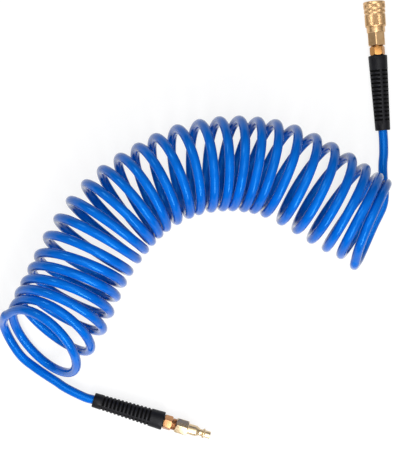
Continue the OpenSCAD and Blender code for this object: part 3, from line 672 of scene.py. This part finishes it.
def knurl_tree():
    """Adds a band of small pyramids, each row turned by half a pitch to the last."""
    tree, given = node_group("diamond_knurl", [
        ("Radius", 1.0), ("Start", 0.0), ("Rows", 1), ("Row Pitch", 1.0), ("Round", 8),
        ("Depth", 1.0)], ["Material"])
    count = node(tree, ARITHMETIC, {0: given["Rows"], 1: given["Round"]}, operation="MULTIPLY")
    points = node(tree, "GeometryNodePoints", {"Count": count})

    # Each point's row and column, and from them its height and angle.
    index = node(tree, "GeometryNodeInputIndex")
    row = node(tree, ARITHMETIC, {0: index, 1: 0.5}, operation="ADD")
    row = node(tree, ARITHMETIC, {0: row, 1: given["Round"]}, operation="DIVIDE")
    row = node(tree, ARITHMETIC, {0: row}, operation="FLOOR")
    before = node(tree, ARITHMETIC, {0: row, 1: given["Round"]}, operation="MULTIPLY")
    column = node(tree, ARITHMETIC, {0: index, 1: before}, operation="SUBTRACT")
    odd = node(tree, ARITHMETIC, {0: row, 1: 2}, operation="MODULO")
    odd = node(tree, ARITHMETIC, {0: odd, 1: 0.5}, operation="MULTIPLY")
    column = node(tree, ARITHMETIC, {0: column, 1: odd}, operation="ADD")
    angle = node(tree, ARITHMETIC, {0: column, 1: 2 * math.pi}, operation="MULTIPLY")
    angle = node(tree, ARITHMETIC, {0: angle, 1: given["Round"]}, operation="DIVIDE")
    height = node(tree, ARITHMETIC, {0: row, 1: 1}, operation="ADD")
    height = node(tree, ARITHMETIC, {0: height, 1: given["Row Pitch"]}, operation="MULTIPLY")
    height = node(tree, ARITHMETIC, {0: given["Start"], 1: height}, operation="ADD")
    base = node(tree, ARITHMETIC, {0: given["Radius"], 1: given["Depth"]}, operation="SUBTRACT")
    x = node(tree, ARITHMETIC, {0: angle}, operation="COSINE")
    x = node(tree, ARITHMETIC, {0: base, 1: x}, operation="MULTIPLY")
    y = node(tree, ARITHMETIC, {0: angle}, operation="SINE")
    y = node(tree, ARITHMETIC, {0: base, 1: y}, operation="MULTIPLY")
    place = node(tree, "ShaderNodeCombineXYZ", {"X": x, "Y": y, "Z": height})
    points = node(tree, "GeometryNodeSetPosition", {"Geometry": points, "Position": place})

    # A pyramid as wide as the pitch, with its corners along and across the axis.
    half = node(tree, ARITHMETIC, {0: base, 1: math.pi}, operation="MULTIPLY")
    half = node(tree, ARITHMETIC, {0: half, 1: given["Round"]}, operation="DIVIDE")
    tip = node(tree, ARITHMETIC, {0: half, 1: 0.16}, operation="MULTIPLY")
    pyramid = node(tree, "GeometryNodeMeshCone",
                   {"Radius Bottom": half, "Radius Top": tip, "Depth": given["Depth"]}, Vertices=4)
    stretch = node(tree, ARITHMETIC, {0: given["Row Pitch"], 1: half}, operation="DIVIDE")
    stretch = node(tree, "ShaderNodeCombineXYZ", {"X": stretch}, Y=1.0, Z=1.0)
    pyramid = node(tree, "GeometryNodeTransform", {"Geometry": pyramid, "Scale": stretch})
    outward = node(tree, "ShaderNodeCombineXYZ", {"Z": angle}, Y=math.radians(90))
    spread = node(tree, "GeometryNodeInstanceOnPoints",
                  {"Points": points, "Instance": pyramid, "Rotation": outward})
    return ended(tree, given, given["Geometry"], spread.outputs[0])


def coupler_sleeve(material):
    """The knurled sliding sleeve, with the lip, recess, ramp and spring pocket inside it."""
    rim_edge, rim_back, groove_depth, groove_start, groove_end = 0.6, 2.35, 0.6, 0.3, 1.3
    profile = [(RING_SEAT_R, 0), (RIM_R - rim_edge, 0), (RIM_R, rim_edge), (RIM_R, rim_back)]
    for r, start, end in BANDS:
        profile += [(r - KNURL_DEPTH, start), (r - KNURL_DEPTH, end),
                    (r - groove_depth, end + groove_start), (r - groove_depth, end + groove_end)]
    # The last band ends in the sleeve's rounded back edge, not in a groove.
    profile[-2:] = [(10.9, 26.7), (10.5, SLEEVE_LEN), (POCKET_R, SLEEVE_LEN)]
    profile += [(POCKET_R, SHOULDER_AT), (THROAT_R, SHOULDER_AT), (THROAT_R, RAMP_END),
                (RECESS_R, RAMP_START), (RECESS_R, LIP_END), (THROAT_R, LIP_END),
                (THROAT_R, RING_SEAT_END), (RING_SEAT_R, RING_SEAT_END)]
    round_angles = [360 * i / SLEEVE_SIDES for i in range(SLEEVE_SIDES)]
    sleeve = revolved("knurled_sleeve", lambda angle: profile, round_angles, fillet=0.12)
    tree = knurl_tree()
    for r, start, end in BANDS:
        pitch = math.pi * (r - KNURL_DEPTH) / KNURLS_ROUND
        rows = int((end - start) / pitch) - 1
        sleeve = built(sleeve, tree, Radius=r, Start=(start + end - pitch * (rows + 1)) / 2,
                       Rows=rows, Row_Pitch=pitch, Round=KNURLS_ROUND, Depth=KNURL_DEPTH,
                       Material=material)
    return fitted(sleeve, MOUTH_FRAME, "sleeve", material, "coupler_sleeve")


# ---- Finishes --------------------------------------------------------------------------------
def new_material(name):
    made = bpy.data.materials.new(name)
    made.use_nodes = True
    return made, made.node_tree, made.node_tree.nodes["Principled BSDF"]


def set_shader(shader, **values):
    for name, value in values.items():
        shader.inputs[name.replace("_", " ")].default_value = value


def two_tones(tree, factor, low, high):
    """A colour that goes from one hex value to another over the middle of a pattern's range."""
    ramp = node(tree, "ShaderNodeValToRGB", {"Fac": factor})
    ends = ramp.color_ramp.elements
    ends[0].position, ends[1].position = 0.3, 0.7
    ends[0].color, ends[1].color = colour(low), colour(high)
    return ramp.outputs["Color"]


def half_of_each(tree, first, second):
    """Two patterns mixed evenly."""
    both = node(tree, ARITHMETIC, {0: first, 1: second}, operation="ADD")
    return node(tree, ARITHMETIC, {0: both, 1: 0.5}, operation="MULTIPLY")


def polyurethane():
    """Polyurethane tube, extruded and coiled: a saturated blue that light enters a little, under
    a glossy skin that reflects blue too, with faint lines from the die along it."""
    made, tree, shader = new_material("polyurethane_extruded_blue")
    place = node(tree, "ShaderNodeAttribute", attribute_name="hose_place").outputs["Vector"]
    # Lines 1.2 mm apart round the hose and 60 mm long; the real ones, 0.3 mm, wouldn't show.
    lines = node(tree, "ShaderNodeMapping", {"Vector": place}, Scale=(800, 800, 16))
    lines = node(tree, "ShaderNodeTexNoise", {"Vector": lines}, Scale=1.0, Detail=3.0)
    # A cloudy depth, in patches of about 20 mm.
    clouds = node(tree, "ShaderNodeTexNoise", {"Vector": place}, Scale=50.0, Detail=2.0)
    tone = two_tones(tree, half_of_each(tree, lines, clouds), "#0057B9", "#006BD6")
    tree.links.new(tone, shader.inputs["Base Color"])
    gloss = node(tree, "ShaderNodeMapRange", {"Value": clouds}, To_Min=0.09, To_Max=0.14)
    tree.links.new(gloss.outputs["Result"], shader.inputs["Roughness"])
    bump = node(tree, "ShaderNodeBump", {"Height": lines}, Strength=0.2, Distance=0.00006)
    tree.links.new(bump.outputs["Normal"], shader.inputs["Normal"])
    set_shader(shader, IOR=1.5, Specular_IOR_Level=0.45, Specular_Tint=BLUE_GLINT,
               Subsurface_Weight=0.05, Subsurface_Scale=0.001, Subsurface_Radius=(0.2, 0.5, 1.0))
    return made


def moulded_rubber(name, low, high, rough):
    """Black synthetic rubber from a fine-spark-eroded mould: satin, with a fine even grain, and
    duller in slots, which also carry painted shade that turns them black."""
    made, tree, shader = new_material(name)
    coords = node(tree, "ShaderNodeTexCoord").outputs["Object"]
    # Grain of 0.25 mm, and a bloom of about 8 mm.
    grain = node(tree, "ShaderNodeTexNoise", {"Vector": coords}, Scale=4000.0, Detail=2.0)
    bloom = node(tree, "ShaderNodeTexNoise", {"Vector": coords}, Scale=120.0, Detail=3.0)
    # Painted shade: a slot is black from well up its walls.
    slot = node(tree, "ShaderNodeAttribute", attribute_name="slot_depth").outputs["Fac"]
    slot = node(tree, ARITHMETIC, {0: slot, 1: 2.5}, operation="MULTIPLY", use_clamp=True)
    tone = node(tree, "ShaderNodeMix", {"Factor": slot, "A": two_tones(tree, bloom, low, high)},
                data_type="RGBA", B=colour("#000000"))
    tree.links.new(tone.outputs[2], shader.inputs["Base Color"])
    dull = node(tree, "ShaderNodeMapRange", {"Value": half_of_each(tree, grain, bloom)},
                From_Min=0.3, From_Max=0.7, To_Min=rough - 0.08, To_Max=rough + 0.08)
    slot_dull = node(tree, ARITHMETIC, {0: slot, 1: 0.95}, operation="MULTIPLY")
    dull = node(tree, ARITHMETIC, {0: dull, 1: slot_dull}, operation="MAXIMUM")
    tree.links.new(dull.outputs[0], shader.inputs["Roughness"])
    bump = node(tree, "ShaderNodeBump", {"Height": grain}, Strength=0.35, Distance=0.00004)
    tree.links.new(bump.outputs["Normal"], shader.inputs["Normal"])
    set_shader(shader, IOR=1.52, Specular_IOR_Level=0.15)
    return made


def turned_metal(name, frame_matrix, low, high, rough, mark_mm, depth=0.3):
    """Metal turned on a lathe: rings of tool marks round the fitting's axis catch the light as
    fine lines, and handling leaves the tone and the polish a little uneven."""
    made, tree, shader = new_material(name)
    coords = node(tree, "ShaderNodeTexCoord").outputs["Object"]
    place = node(tree, "ShaderNodeMapping", {"Vector": coords}, vector_type="TEXTURE",
                 Location=frame_matrix.translation * MM, Rotation=frame_matrix.to_euler())
    xyz = node(tree, "ShaderNodeSeparateXYZ", {0: place}).outputs
    off_axis = node(tree, "ShaderNodeCombineXYZ", {"X": xyz["X"], "Y": xyz["Y"]})
    radius = node(tree, VECTORS, {0: off_axis}, operation="LENGTH").outputs["Value"]
    across = node(tree, "ShaderNodeCombineXYZ", {"X": radius, "Z": xyz["Z"]})
    marks = node(tree, "ShaderNodeTexNoise", {"Vector": across}, Scale=0.5 / (mark_mm * MM),
                 Detail=2.0)
    handled = node(tree, "ShaderNodeTexNoise", {"Vector": place}, Scale=180.0, Detail=3.0)
    tree.links.new(two_tones(tree, handled, low, high), shader.inputs["Base Color"])
    polish = node(tree, "ShaderNodeMapRange", {"Value": half_of_each(tree, marks, handled)},
                  From_Min=0.3, From_Max=0.7, To_Min=rough - 0.05, To_Max=rough + 0.07)
    tree.links.new(polish.outputs["Result"], shader.inputs["Roughness"])
    bump = node(tree, "ShaderNodeBump", {"Height": marks}, Strength=depth, Distance=0.00002)
    tree.links.new(bump.outputs["Normal"], shader.inputs["Normal"])
    set_shader(shader, Metallic=1.0)
    return made


# ---- Floor and lights ------------------------------------------------------------------------
def paper_floor():
    made, tree, shader = new_material("paper_white_floor")
    coords = node(tree, "ShaderNodeTexCoord").outputs["Object"]
    grain = node(tree, "ShaderNodeTexNoise", {"Vector": coords}, Scale=30.0, Detail=2.0)
    tree.links.new(two_tones(tree, grain, "#848484", "#888888"), shader.inputs["Base Color"])
    set_shader(shader, Roughness=0.9, Specular_IOR_Level=0.1)
    # What the camera and polished metal see of the floor is a little brighter than its lit colour.
    path = node(tree, "ShaderNodeLightPath").outputs
    seen = node(tree, ARITHMETIC, {0: path["Is Camera Ray"], 1: path["Is Glossy Ray"]},
                operation="MAXIMUM")
    seen = node(tree, ARITHMETIC, {0: seen, 1: path["Is Transmission Ray"]}, operation="MAXIMUM")
    seen = node(tree, ARITHMETIC, {0: seen, 1: FLOOR_GLOW}, operation="MULTIPLY")
    glow = node(tree, "ShaderNodeEmission", {"Strength": seen}, Color=colour("#FFFFFF"))
    both = node(tree, "ShaderNodeAddShader", {0: shader, 1: glow})
    tree.links.new(both.outputs[0], tree.nodes["Material Output"].inputs["Surface"])
    data = bpy.data.meshes.new("floor")
    corners = [(-1, -1), (1, -1), (1, 1), (-1, 1)]
    data.from_pydata([(x * FLOOR_HALF, y * FLOOR_HALF, FLOOR_Z) for x, y in corners], [],
                     [(0, 1, 2, 3)])
    data.materials.append(made)
    placed("floor", data)


def studio_walls():
    """Walls that are paler towards the ceiling."""
    world = bpy.data.worlds.new("studio")
    bpy.context.scene.world = world
    world.use_nodes = True
    tree, background = world.node_tree, world.node_tree.nodes["Background"]
    place = node(tree, "ShaderNodeTexCoord").outputs["Generated"]
    up = node(tree, "ShaderNodeSeparateXYZ", {0: place}).outputs["Z"]
    ramp = node(tree, "ShaderNodeValToRGB", {"Fac": up})
    for end, (position, grey) in zip(ramp.color_ramp.elements, WALL_GREYS):
        end.position, end.color = position, (grey, grey, grey, 1)
    tree.links.new(ramp.outputs["Color"], background.inputs["Color"])
    # Polished metal sees paler walls than the light that they give.
    shown = node(tree, "ShaderNodeLightPath").outputs["Is Glossy Ray"]
    shown = node(tree, ARITHMETIC, {0: shown, 1: WALL_GLOW}, operation="MULTIPLY")
    shown = node(tree, ARITHMETIC, {0: shown, 1: 1}, operation="ADD")
    tree.links.new(shown.outputs[0], background.inputs["Strength"])


def lamps():
    for name, place, width, height, power in LAMPS:
        data = bpy.data.lights.new(name, "AREA")
        data.shape, data.size, data.size_y, data.energy = "RECTANGLE", width, height, power
        facing = Vector(place).to_track_quat("Z", "Y").to_matrix().to_4x4()
        placed(name, data).matrix_world = Matrix.Translation(place) @ facing


# ---- The whole -------------------------------------------------------------------------------
bpy.context.scene.view_settings.view_transform = "Standard"
make_camera()
paper_floor()
studio_walls()
lamps()

rubber = moulded_rubber("rubber_moulded_black", "#121215", "#1A1A1E", rough=0.42)
seal_rubber = moulded_rubber("nitrile_moulded_black", "#101011", "#161617", rough=0.6)
plug_brass = turned_metal("brass_turned_champagne_plug", PLUG_FRAME,
                          "#CDB48E", "#DAC4A0", rough=0.28, mark_mm=0.35)
coupler_brass = turned_metal("brass_turned_champagne_coupler", MOUTH_FRAME,
                             "#D2A878", "#DEBA8C", rough=0.32, mark_mm=0.35)
plug_nut_brass = turned_metal("copper_brass_turned_plug_nut", PLUG_FRAME,
                              "#AC7A52", "#BE8E66", rough=0.28, mark_mm=0.3)
coupler_nut_brass = turned_metal("copper_brass_turned_coupler_nut", COUPLER_FRAME,
                                 "#A67440", "#B88650", rough=0.28, mark_mm=0.3)
plug_stem_brass = turned_metal("brass_turned_yellow_plug_stem", PLUG_FRAME,
                               "#D8B45C", "#E2C074", rough=0.25, mark_mm=0.3)
coupler_stem_brass = turned_metal("brass_turned_yellow_coupler_stem", COUPLER_FRAME,
                                  "#D8B45C", "#E2C074", rough=0.25, mark_mm=0.3)
spring_steel = turned_metal("spring_steel_drawn", MOUTH_FRAME,
                            "#B4B5B8", "#C4C5C8", rough=0.3, mark_mm=0.5, depth=0.1)
ball_steel = turned_metal("bearing_steel_ground", MOUTH_FRAME,
                          "#C8C9CC", "#D0D1D4", rough=0.12, mark_mm=0.6, depth=0.03)

boot_tree, wound = slotted_sleeve_tree(), wound_tree()
plug_boot = bend_restrictor("plug", PLUG_FRAME, PLUG_BOOT_TURN, boot_tree, rubber)
bend_restrictor("coupler", COUPLER_FRAME, COUPLER_BOOT_TURN, boot_tree, rubber)
plug_nut = swivel_nut("plug", PLUG_FRAME, PLUG_BACK, "plug_end", wound, plug_nut_brass)
swivel_nut("coupler", COUPLER_FRAME, COUPLER_BACK, "coupler", wound, coupler_nut_brass)
plug = quick_plug(plug_brass)
coupler_rear_body(coupler_brass)
coupler_sleeve(coupler_brass)
compression_spring("sleeve_return_spring", radius=8.75, wire=0.9, turns=4.0,
                   ends=(SHOULDER_AT + 0.02, 22.98),
                   tree=wound, material=spring_steel, cad_node="sleeve_spring")
compression_spring("valve_return_spring", radius=3.6, wire=0.6, turns=6.0,
                   ends=(18.92, 28.58),
                   tree=wound, material=spring_steel, cad_node="valve_spring")
make_hose(polyurethane())

for cad_node, finish in {
        "crimp_ferrule_plug_end": plug_stem_brass, "crimp_ferrule_coupler_end": coupler_stem_brass,
        "barbed_stem_plug_end": plug_stem_brass, "barbed_stem_coupler_end": coupler_stem_brass,
        "stem_oring_plug_end": seal_rubber, "stem_oring_coupler_end": seal_rubber,
        "coupler_barrel": coupler_brass, "sleeve_retaining_ring": spring_steel,
        "coupler_seal": seal_rubber, "valve_poppet": coupler_stem_brass,
        **{f"locking_ball_{k}": ball_steel for k in range(1, 5)}}.items():
    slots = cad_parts[cad_node].data.materials
    slots.clear()
    slots.append(finish)
